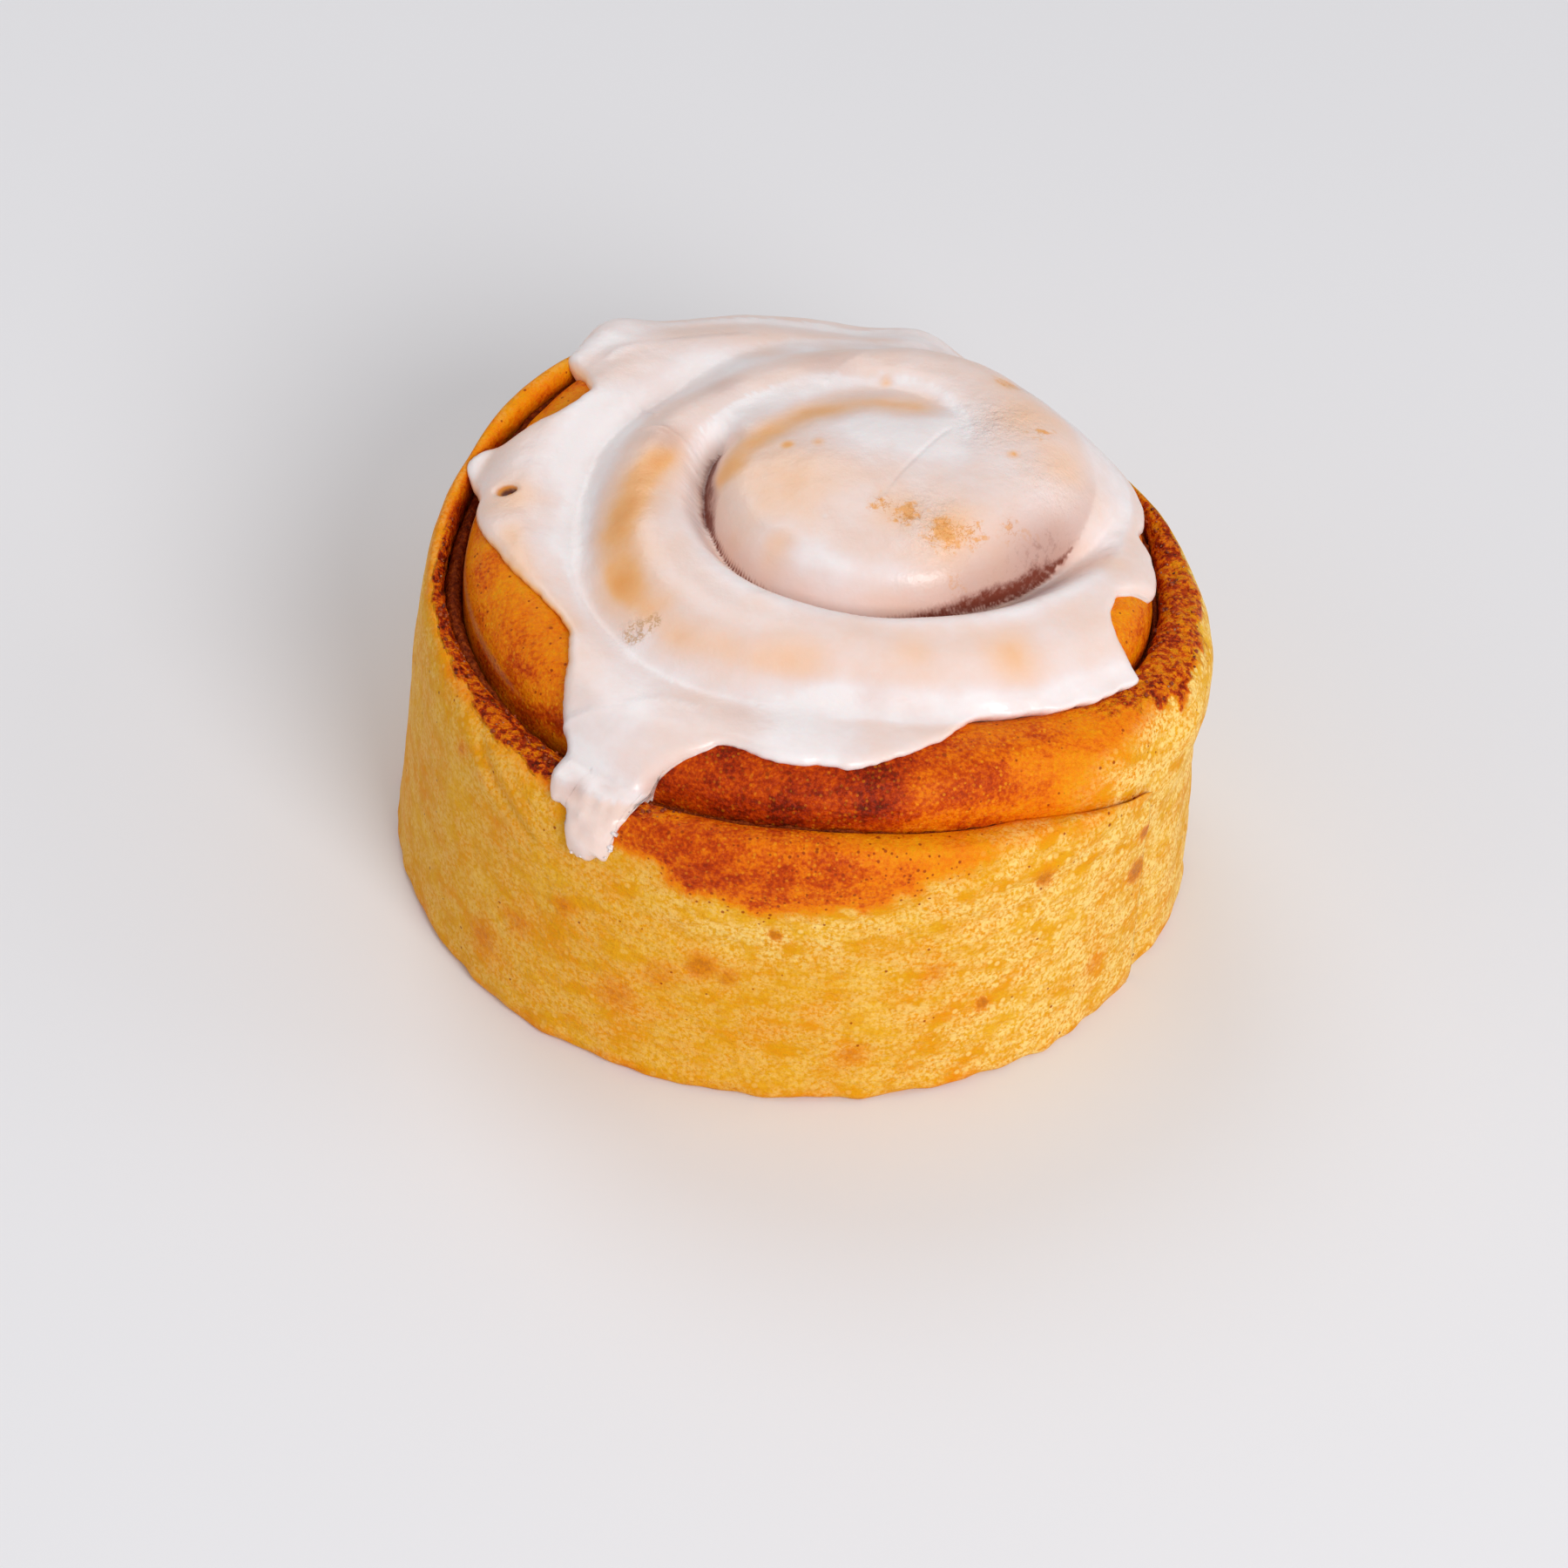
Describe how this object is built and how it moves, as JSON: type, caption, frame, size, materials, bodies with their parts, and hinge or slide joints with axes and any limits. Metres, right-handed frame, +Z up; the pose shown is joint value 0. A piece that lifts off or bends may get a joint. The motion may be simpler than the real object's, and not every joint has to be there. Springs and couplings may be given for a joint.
{
  "type": "iced cinnamon roll",
  "caption": "Coiled sweet dough bun with cinnamon filling in its spiral seam, and white icing over the top that runs over the front rim",
  "frame": {"origin": "Centre of the bounding box in plan, on the roll's flat base", "axes": "+Z up, out of the roll's spiral top. -Y is the front that faces the camera, where the icing runs over the rim."},
  "size_m": [0.0998, 0.0968, 0.0553],
  "materials": {
    "baked_dough": "golden baked dough, satin, browned and glossy on its upper turns",
    "cinnamon": "dark, moist and grainy",
    "sugar_icing": "translucent white sugar glaze, soft gloss"
  },
  "bodies": {
    "root": {"dough": "baked_dough", "cinnamon_filling": "cinnamon", "icing": "sugar_icing"}
  },
  "joints": []
}
